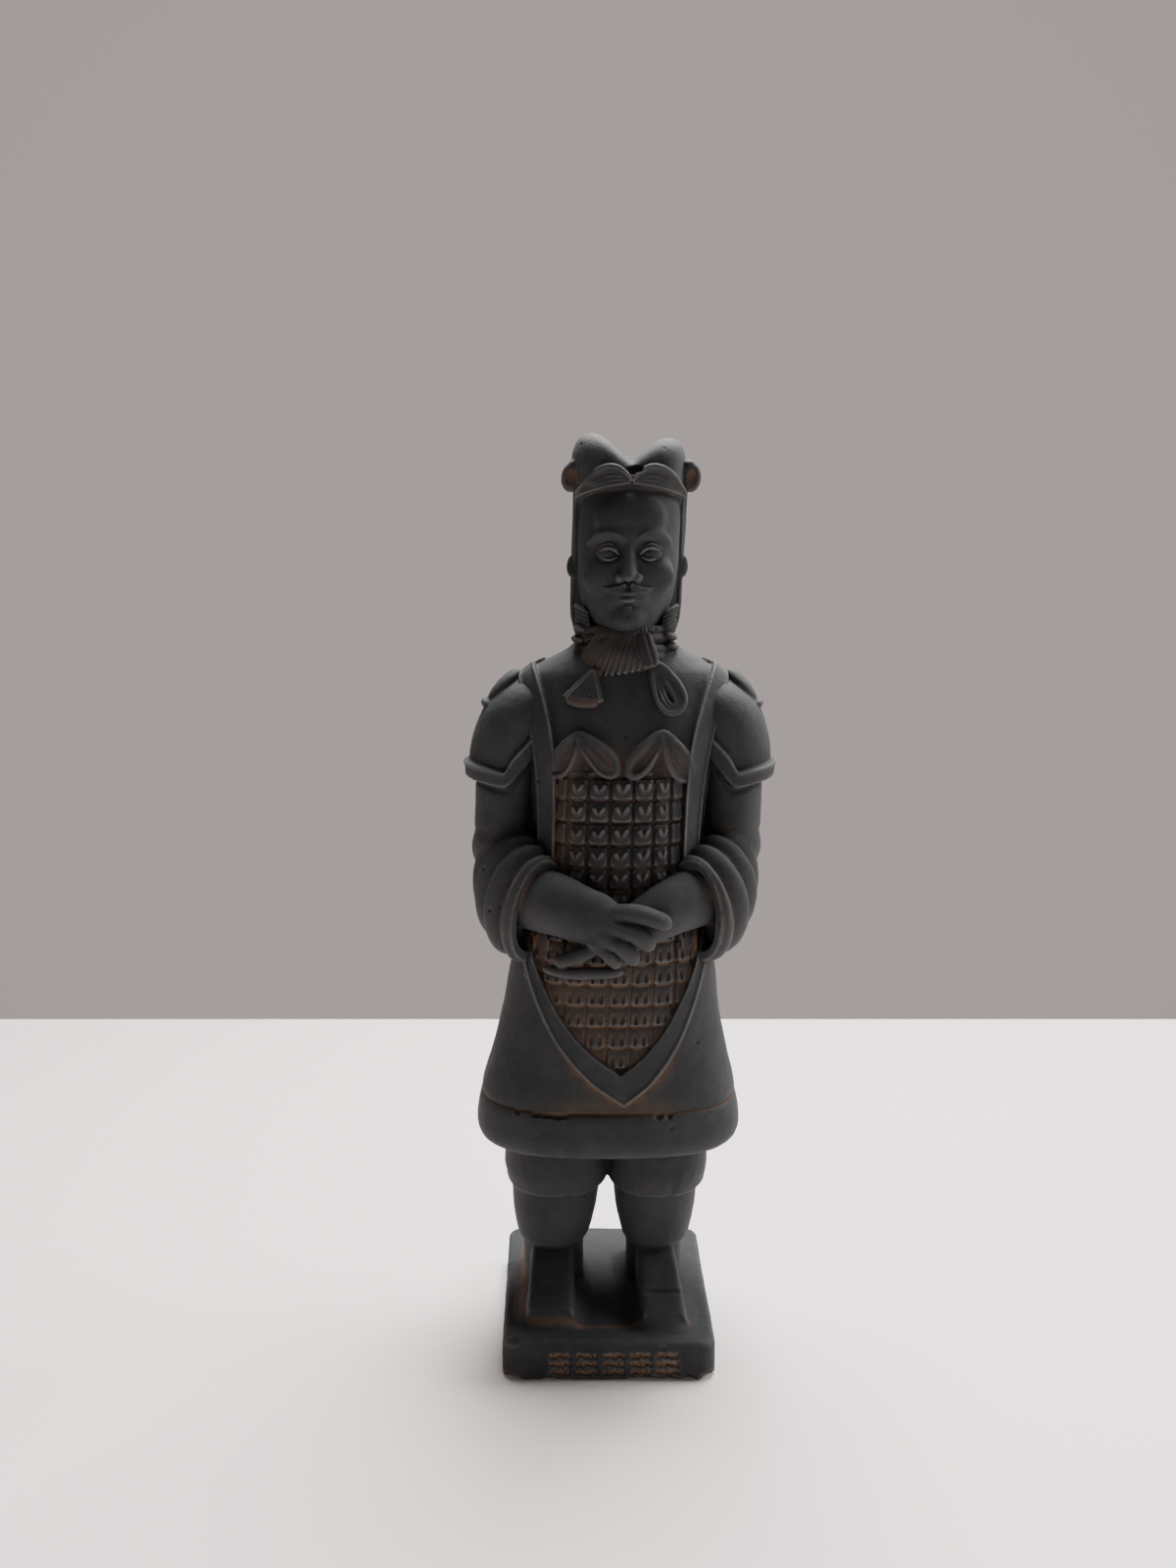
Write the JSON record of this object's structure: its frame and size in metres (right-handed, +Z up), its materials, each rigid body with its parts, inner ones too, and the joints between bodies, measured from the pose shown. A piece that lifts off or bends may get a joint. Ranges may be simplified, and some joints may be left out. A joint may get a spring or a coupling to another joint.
{
  "type": "terracotta warrior statue",
  "caption": "Small souvenir figure of an armoured terracotta warrior with clasped hands, cast in dark clay in one piece with its base plate, which it stands on.",
  "frame": {"origin": "middle of the base plate's underside", "axes": "+Z up, the figure faces -Y, +X is the figure's own left"},
  "size_m": [0.054, 0.0411, 0.16],
  "materials": {
    "dark_clay": "matte"
  },
  "bodies": {
    "root": {"warrior_statue": "dark_clay"}
  },
  "joints": []
}
